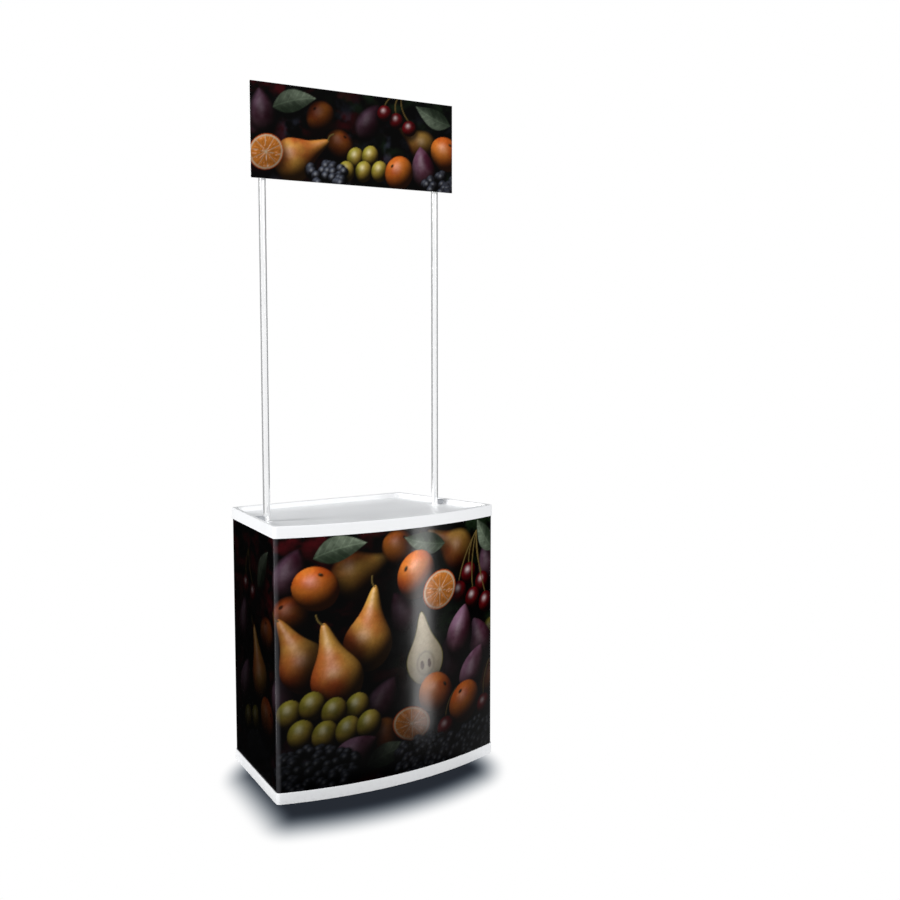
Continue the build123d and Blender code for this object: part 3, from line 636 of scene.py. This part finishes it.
def add(tree, kind, links=None, **settings):
    """New node with its settings; links maps a socket's name to a value or to another node's output."""
    made = tree.nodes.new(kind)
    for key, value in settings.items():
        setattr(made, key, value)
    for socket, value in (links or {}).items():
        if isinstance(value, bpy.types.NodeSocket):
            tree.links.new(value, made.inputs[socket])
        else:
            made.inputs[socket].default_value = value
    return made


def new_finish(name):
    """Empty finish: the material, its tree, its shader and the object coordinates."""
    finish = bpy.data.materials.new(name)
    finish.use_nodes = True
    tree = finish.node_tree
    shader = tree.nodes["Principled BSDF"]
    place = add(tree, "ShaderNodeTexCoord").outputs["Object"]
    return finish, tree, shader, place


def mottle(tree, place, scale, low, high, detail=3.0):
    """Noise of one scale, stretched to run from low to high."""
    noise = add(tree, "ShaderNodeTexNoise", {"Vector": place, "Scale": scale, "Detail": detail})
    spread = add(
        tree,
        "ShaderNodeMapRange",
        {"Value": noise.outputs["Fac"], "From Min": 0.3, "From Max": 0.7, "To Min": low, "To Max": high},
    )
    return spread.outputs["Result"]


def blend(tree, factor, first, second):
    """Colour between two colours or colour outputs."""
    mix = add(tree, "ShaderNodeMix", data_type="RGBA")
    for socket, value in ((mix.inputs["Factor"], factor), (mix.inputs[6], first), (mix.inputs[7], second)):
        if isinstance(value, bpy.types.NodeSocket):
            tree.links.new(value, socket)
        else:
            socket.default_value = value
    return mix.outputs[2]


def relief(tree, shader, height, strength, distance):
    """Bump on the shader from a height output."""
    bump = add(tree, "ShaderNodeBump", {"Height": height, "Strength": strength, "Distance": distance})
    tree.links.new(bump.outputs["Normal"], shader.inputs["Normal"])


def stretched(tree, place, scale):
    """Coordinates scaled apart along the three axes, so that noise runs in streaks."""
    return add(tree, "ShaderNodeMapping", {"Vector": place, "Scale": scale}).outputs["Vector"]


def low_down(tree, place, top):
    """1 at the floor, falling to 0 at the given height."""
    height = add(tree, "ShaderNodeSeparateXYZ", {"Vector": place}).outputs["Z"]
    fall = add(tree, "ShaderNodeMapRange", {"Value": height, "From Max": top, "To Min": 1.0, "To Max": 0.0})
    return fall.outputs["Result"]


def product(tree, first, second):
    """Product of two values."""
    return add(tree, "ShaderNodeMath", {0: first, 1: second}, operation="MULTIPLY").outputs["Value"]


def plastic(name, light, dark, rough_low, rough_high, grain_scale, grain_depth):
    """Moulded or extruded plastic: cloudy tone, uneven gloss, fine grain, scratches, scuffs low down."""
    finish, tree, shader, place = new_finish(name)
    tone = blend(tree, mottle(tree, place, 3.0, 0.0, 1.0), light, dark)
    scratch = mottle(tree, stretched(tree, place, (160.0, 9.0, 40.0)), 1.0, -1.6, 0.5)
    scuff = product(tree, low_down(tree, place, 0.03), mottle(tree, place, 90.0, -0.2, 0.25))
    worn = [0.6 * value for value in dark[:3]] + [1.0]
    tone = blend(tree, product(tree, scratch, 0.05), tone, worn)
    tone = blend(tree, scuff, tone, worn)
    tree.links.new(tone, shader.inputs["Base Color"])
    tree.links.new(mottle(tree, place, 14.0, rough_low, rough_high), shader.inputs["Roughness"])
    relief(tree, shader, mottle(tree, place, grain_scale, 0.0, 1.0), 0.25, grain_depth)
    return finish


def powder_coat():
    """Pearl-white lacquer on tube: metallic sheen, orange-peel skin, soft gloss and a few dull rubs."""
    finish, tree, shader, place = new_finish("pole_paint")
    rub = mottle(tree, stretched(tree, place, (30.0, 30.0, 6.0)), 1.0, -1.2, 0.6)
    tone = blend(tree, mottle(tree, place, 4.0, 0.0, 1.0), (0.88, 0.88, 0.885, 1), (0.84, 0.84, 0.845, 1))
    tone = blend(tree, product(tree, rub, 0.25), tone, (0.62, 0.62, 0.63, 1))
    tree.links.new(tone, shader.inputs["Base Color"])
    tree.links.new(mottle(tree, place, 25.0, 0.10, 0.16), shader.inputs["Roughness"])
    shader.inputs["Metallic"].default_value = 0.55
    shader.inputs["Coat Weight"].default_value = 1.0
    shader.inputs["Coat Roughness"].default_value = 0.10
    shader.inputs["Coat IOR"].default_value = 2.0
    relief(tree, shader, mottle(tree, place, 420.0, 0.0, 1.0), 0.2, 0.0004)
    return finish


def foam_board():
    """Matte foam board: fine closed cells and a slight cloudiness."""
    finish, tree, shader, place = new_finish("board_pvc")
    cells = add(tree, "ShaderNodeTexVoronoi", {"Vector": place, "Scale": 900.0}).outputs["Distance"]
    tone = blend(tree, mottle(tree, place, 9.0, 0.0, 1.0), (0.84, 0.84, 0.83, 1), (0.78, 0.78, 0.77, 1))
    tree.links.new(tone, shader.inputs["Base Color"])
    tree.links.new(mottle(tree, place, 30.0, 0.55, 0.72), shader.inputs["Roughness"])
    relief(tree, shader, cells, 0.25, 0.0003)
    return finish


def grey_nylon():
    """Grey moulded nylon: spark-eroded grain and rubbed patches."""
    return plastic("fitting_nylon", (0.38, 0.39, 0.41, 1), (0.30, 0.31, 0.33, 1), 0.42, 0.60, 900.0, 0.0003)


def foot_rubber():
    """Black rubber with dust on it."""
    finish, tree, shader, place = new_finish("foot_rubber")
    dust = mottle(tree, place, 220.0, -0.2, 0.7)
    tone = blend(tree, dust, (0.022, 0.022, 0.022, 1), (0.09, 0.085, 0.08, 1))
    tree.links.new(tone, shader.inputs["Base Color"])
    tree.links.new(mottle(tree, place, 90.0, 0.68, 0.92), shader.inputs["Roughness"])
    relief(tree, shader, mottle(tree, place, 600.0, 0.0, 1.0), 0.4, 0.0004)
    return finish


def screw_steel():
    """Plated steel with fine turning marks."""
    finish, tree, shader, place = new_finish("screw_steel")
    shader.inputs["Metallic"].default_value = 1.0
    tone = blend(tree, mottle(tree, place, 300.0, 0.0, 1.0), (0.62, 0.62, 0.63, 1), (0.48, 0.48, 0.50, 1))
    tree.links.new(tone, shader.inputs["Base Color"])
    tree.links.new(mottle(tree, place, 700.0, 0.22, 0.42), shader.inputs["Roughness"])
    relief(tree, shader, mottle(tree, place, 1500.0, 0.0, 1.0), 0.2, 0.0001)
    return finish


def print_film():
    """Printed film under a clear laminate: the painted layer, a smooth skin and slight waviness."""
    finish, tree, shader, place = new_finish("print_film")
    layer = add(tree, "ShaderNodeAttribute", attribute_name="print").outputs["Color"]
    dots = mottle(tree, place, 700.0, 0.0, 0.10)
    tree.links.new(blend(tree, dots, layer, (0.0, 0.0, 0.0, 1)), shader.inputs["Base Color"])
    tree.links.new(mottle(tree, place, 18.0, 0.16, 0.20), shader.inputs["Roughness"])
    shader.inputs["Specular IOR Level"].default_value = 0.03
    relief(tree, shader, mottle(tree, place, 6.0, 0.0, 1.0, 1.0), 0.08, 0.002)
    return finish


FINISHES = {
    "white_abs": plastic(
        "white_abs", (0.87, 0.87, 0.875, 1), (0.85, 0.85, 0.856, 1), 0.36, 0.46, 650.0, 0.0001
    ),
    "board_pvc": foam_board(),
    "hinge_pvc": plastic(
        "hinge_pvc", (0.80, 0.80, 0.79, 1), (0.74, 0.74, 0.73, 1), 0.38, 0.52, 500.0, 0.0002
    ),
    "print_film": print_film(),
    "rail_pvc": plastic(
        "rail_pvc", (0.83, 0.83, 0.82, 1), (0.78, 0.78, 0.77, 1), 0.35, 0.48, 480.0, 0.0002
    ),
    "shelf_pvc": plastic(
        "shelf_pvc", (0.84, 0.84, 0.83, 1), (0.79, 0.79, 0.78, 1), 0.40, 0.55, 350.0, 0.0003
    ),
    "pole_paint": powder_coat(),
    "fitting_nylon": grey_nylon(),
    "foot_rubber": foot_rubber(),
    "screw_steel": screw_steel(),
}

for part in frame["record"]["subparts"]:
    slots = nodes[part["node"]].data.materials
    slots.clear()
    slots.append(FINISHES[part["material_slot"]])


# Films on the counter and on the header

def wrap_films():
    """Front film with both corners, and a film on each flat side."""
    low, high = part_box("printed_wrap")
    z = spaced(low.z, high.z)
    corner = np.linspace(BOW_HALF, CORNER_END, CORNER_COLUMNS + 1)[1:]
    front = np.concatenate([-corner[::-1], spaced(-BOW_HALF, BOW_HALF), corner])
    spans = {
        "printed_wrap_front": front,
        "printed_wrap_left": spaced(-SHEET_HALF, -CORNER_END),
        "printed_wrap_right": spaced(CORNER_END, SHEET_HALF),
    }
    for name, s in spans.items():
        film(name, sheet_path, s, z, counter_print, "body_sheet", "printed_wrap", FINISHES["print_film"])


def header_film():
    """Flat film on the header board."""
    low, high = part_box("header_print")

    def path(s):
        plan = np.stack([s, np.full_like(s, low.y)], axis=1)
        return plan, np.tile([0.0, -1.0], (len(s), 1))

    def picture(s, z):
        return header_picture(s, z - low.z)

    film(
        "header_print_front",
        path,
        spaced(low.x, high.x),
        spaced(low.z, high.z),
        picture,
        "header",
        "header_print",
        FINISHES["print_film"],
    )


wrap_films()
header_film()


# Studio: white floor and background, soft suns from the left and from the front, and even light all round

WORLD_LIGHT = 0.42
WORLD_TINT = (0.93, 0.97, 1.0, 1)

# Suns: strength, and degrees from the front towards the right, above the floor, and of spread
LEFT_LIGHT = 2.7
LEFT_AZIMUTH = -105
FRONT_LIGHT = 1.75
FRONT_AZIMUTH = 8
SUN_ELEVATION = 20
SUN_SPREAD = 25

# Tall lamps that light the films alone: watts, degrees from the front, and metres from the middle
RIGHT_STRIP = 17.0
RIGHT_STRIP_AZIMUTH = 33
RIGHT_STRIP_DISTANCE = 0.76
LEFT_STRIP = 8.0
LEFT_STRIP_AZIMUTH = -94
LEFT_STRIP_DISTANCE = 0.88
STRIP_WIDTH = 0.12
STRIP_HEIGHT = 0.85

# Floor, and the counter's shadow painted on it
FLOOR_SIZE = 40.0
FLOOR_WHITENESS = 0.72
SHADOW_TURN = math.radians(35.6)
SHADOW_SHIFT = np.array([-0.069, -0.117])
SHADOW_SHRINK = 0.78
SHADOW_SQUASH = 0.54
SHADOW_RIM = 0.133
SHADOW_STEEPNESS = np.array([1.58, 1.50, 1.42])
SHADOW_TONE = np.array([0.020, 0.024, 0.032])
SHADOW_BOW_STEPS = 40
SHADOW_FIELD = 0.9
SHADOW_CELLS = 150

# Painted contact shadow: its width and depth, and where it sets in along each axis
CONTACT_REACH = 0.07
CONTACT_DEPTH = 0.6
CONTACT_X = (-0.29, -0.10)
CONTACT_Y = (-0.12, 0.05)

# Dark cloth, seen in reflections
SWEEP_REACH = 8.0
SWEEP_REAR = 1.5
SWEEP_RIGHT = 1.9
SWEEP_FRONT = -1.4
SWEEP_STRIP_FRONT = -0.15
SWEEP_LIFT = 0.003
SWEEP_HEIGHT = 3.2
SWEEP_TONE = (0.02, 0.02, 0.02, 1)


def seen_directly(tree):
    """1 for rays from the camera, a mirror or glass, and 0 for light that is on its way to a surface."""
    path = add(tree, "ShaderNodeLightPath").outputs
    seen = path["Is Camera Ray"]
    for other in (path["Is Glossy Ray"], path["Is Transmission Ray"]):
        seen = add(tree, "ShaderNodeMath", {0: seen, 1: other}, operation="MAXIMUM").outputs["Value"]
    return seen


def white_world():
    """White where it is seen, and an even, slightly cool grey as a source of light."""
    world = bpy.data.worlds.new("studio")
    bpy.context.scene.world = world
    world.use_nodes = True
    tree = world.node_tree
    background = tree.nodes["Background"]
    seen = seen_directly(tree)
    strength = add(tree, "ShaderNodeMapRange", {"Value": seen, "To Min": WORLD_LIGHT, "To Max": 1.0})
    tree.links.new(strength.outputs["Result"], background.inputs["Strength"])
    tree.links.new(blend(tree, seen, WORLD_TINT, (1, 1, 1, 1)), background.inputs["Color"])


def footprint():
    """Counter's plan on the floor: points along the bowed front, then the two rear corners."""
    turn = np.linspace(-1, 1, SHADOW_BOW_STEPS) * math.asin(FRONT_WIDTH / 2 / BOW_RADIUS)
    front = np.stack([BOW_RADIUS * np.sin(turn), BOW_CENTRE_Y - BOW_RADIUS * np.cos(turn)], axis=1)
    rear_x = FRONT_WIDTH / 2 - SIDE_TAPER
    return np.concatenate([front, [[rear_x, REAR_Y], [-rear_x, REAR_Y]]])


def outside_by(points, outline):
    """Distance of points from a convex outline: 0 inside it, else to the nearest point on its edges."""
    edge = np.roll(outline, -1, axis=0) - outline
    reach = points[:, None] - outline
    along = np.clip((reach * edge).sum(axis=2) / (edge**2).sum(axis=1), 0, 1)
    distance = np.linalg.norm(reach - along[:, :, None] * edge, axis=2).min(axis=1)
    inside = (edge[:, 0] * reach[:, :, 1] - edge[:, 1] * reach[:, :, 0] > 0).all(axis=1)
    return np.where(inside, 0, distance)


def painted_floor_shadow(points):
    """Colour of the floor, a painted shadow: dark on the footprint, shrunk and moved forwards, and white
    past a soft rim.

    Distances along the shadow's fall count less than those across it, so the rim is wider there.
    A narrow soft painted contact shadow lies along the rear and the right side."""
    across = np.array([math.cos(SHADOW_TURN), -math.sin(SHADOW_TURN)])
    onward = np.array([math.sin(SHADOW_TURN), math.cos(SHADOW_TURN)]) * SHADOW_SQUASH
    axes = np.stack([across, onward], axis=1)
    distance = outside_by((points - SHADOW_SHIFT) @ axes, SHADOW_SHRINK * footprint() @ axes)
    light = smooth_step(0, SHADOW_RIM, distance)
    fallen = SHADOW_TONE + (1 - SHADOW_TONE) * light[:, None] ** SHADOW_STEEPNESS
    contact = CONTACT_DEPTH * smooth_step(CONTACT_REACH, 0, outside_by(points, footprint()))
    contact = contact * smooth_step(*CONTACT_X, points[:, 0]) * smooth_step(*CONTACT_Y, points[:, 1])
    return fallen * (1 - contact[:, None])


def floor_lines(middle):
    """Grid lines of the floor along one axis: close under the stand, and one far out at each end."""
    near = np.linspace(middle - SHADOW_FIELD, middle + SHADOW_FIELD, SHADOW_CELLS + 1)
    return np.concatenate([[-FLOOR_SIZE / 2], near, [FLOOR_SIZE / 2]])


def white_floor():
    """Wide floor, white in the open, with the counter's soft blue-grey shadow painted into its colour."""
    x, y = np.meshgrid(floor_lines(SHADOW_SHIFT[0]), floor_lines(SHADOW_SHIFT[1]))
    points = np.stack([x.ravel(), y.ravel()], axis=1)
    index = np.arange(len(points)).reshape(x.shape)
    mesh = bpy.data.meshes.new("floor")
    mesh.from_pydata(np.pad(points, ((0, 0), (0, 1))).tolist(), [], grid_faces(index))
    colour_points(mesh, "tone", painted_floor_shadow(points))
    finish = bpy.data.materials.new("floor")
    finish.use_nodes = True
    tree = finish.node_tree
    tree.nodes.clear()
    # The painted shadow colours the floor both where it is seen and in the light it passes on
    tone = add(tree, "ShaderNodeAttribute", attribute_name="tone").outputs["Color"]
    dimmed = blend(tree, FLOOR_WHITENESS, (0, 0, 0, 1), tone)
    seen = add(tree, "ShaderNodeEmission", {"Color": tone, "Strength": 1.0})
    lit = add(tree, "ShaderNodeBsdfDiffuse", {"Color": dimmed})
    mix = add(tree, "ShaderNodeMixShader", {"Fac": seen_directly(tree)})
    tree.links.new(lit.outputs["BSDF"], mix.inputs[1])
    tree.links.new(seen.outputs["Emission"], mix.inputs[2])
    output = add(tree, "ShaderNodeOutputMaterial")
    tree.links.new(mix.outputs["Shader"], output.inputs["Surface"])
    mesh.materials.append(finish)
    in_scene("floor", mesh)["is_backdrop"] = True


def sun(name, strength, azimuth):
    """Soft parallel light; azimuth is measured from the front, to the right as the customer sees it."""
    lamp = bpy.data.lights.new(name, "SUN")
    lamp.energy = strength
    lamp.angle = math.radians(SUN_SPREAD)
    source = in_scene(name, lamp)
    source.rotation_euler = (math.radians(90 - SUN_ELEVATION), 0, math.radians(azimuth))


def strip_lamp(name, power, azimuth, distance):
    """Tall narrow lamp that faces the stand and lights only the films, for its streak in the bent print."""
    lamp = bpy.data.lights.new(name, "AREA")
    lamp.shape = "RECTANGLE"
    lamp.size = STRIP_WIDTH
    lamp.size_y = STRIP_HEIGHT
    lamp.energy = power
    turn = math.radians(azimuth)
    source = in_scene(name, lamp)
    source.location = (distance * math.sin(turn), -distance * math.cos(turn), STRIP_HEIGHT / 2)
    source.rotation_euler = (math.radians(90), 0, turn)
    source.visible_camera = False
    source.visible_diffuse = False
    source.light_linking.receiver_collection = FILM_GROUP


def dark_sweep():
    """Dark cloth behind the stand and at its right, seen only in reflections: a plan line carried upwards.

    A strip of the same cloth lies on the floor in front of the line's long run."""
    plan = [(-SWEEP_REACH, SWEEP_REAR), (SWEEP_RIGHT, SWEEP_REAR), (SWEEP_RIGHT, SWEEP_FRONT)]
    strip = [(-SWEEP_REACH, SWEEP_STRIP_FRONT), (SWEEP_RIGHT, SWEEP_STRIP_FRONT)]
    points = [(x, y, SWEEP_LIFT) for x, y in plan + strip] + [(x, y, SWEEP_HEIGHT) for x, y in plan]
    mesh = bpy.data.meshes.new("dark_sweep")
    mesh.from_pydata(points, [], [(0, 1, 6, 5), (1, 2, 7, 6), (3, 4, 1, 0)])
    finish, _, shader, _ = new_finish("dark_cloth")
    shader.inputs["Base Color"].default_value = SWEEP_TONE
    shader.inputs["Specular IOR Level"].default_value = 0.0
    mesh.materials.append(finish)
    cloth = in_scene("dark_sweep", mesh)
    cloth.visible_camera = False
    cloth.visible_diffuse = False
    cloth.visible_shadow = False
    cloth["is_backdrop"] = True


def photo_camera():
    """Camera at the photograph's place, looking slightly down."""
    lens = bpy.data.cameras.new("camera")
    lens.lens = CAMERA_LENS
    lens.sensor_width = CAMERA_SENSOR
    lens.clip_end = 2 * FLOOR_SIZE
    camera = in_scene("camera", lens)
    camera.location = CAMERA_PLACE
    camera.rotation_euler = (math.pi / 2 - CAMERA_PITCH, 0, -CAMERA_YAW)
    bpy.context.scene.camera = camera


white_world()
white_floor()
sun("left", LEFT_LIGHT, LEFT_AZIMUTH)
sun("front", FRONT_LIGHT, FRONT_AZIMUTH)
strip_lamp("right_strip", RIGHT_STRIP, RIGHT_STRIP_AZIMUTH, RIGHT_STRIP_DISTANCE)
strip_lamp("left_strip", LEFT_STRIP, LEFT_STRIP_AZIMUTH, LEFT_STRIP_DISTANCE)
dark_sweep()
photo_camera()
bpy.context.scene.view_settings.view_transform = "Standard"

boxes = {"cad": cad_box, "visual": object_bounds()}
{key: [[float(v) for v in corner] for corner in box] for key, box in boxes.items()}
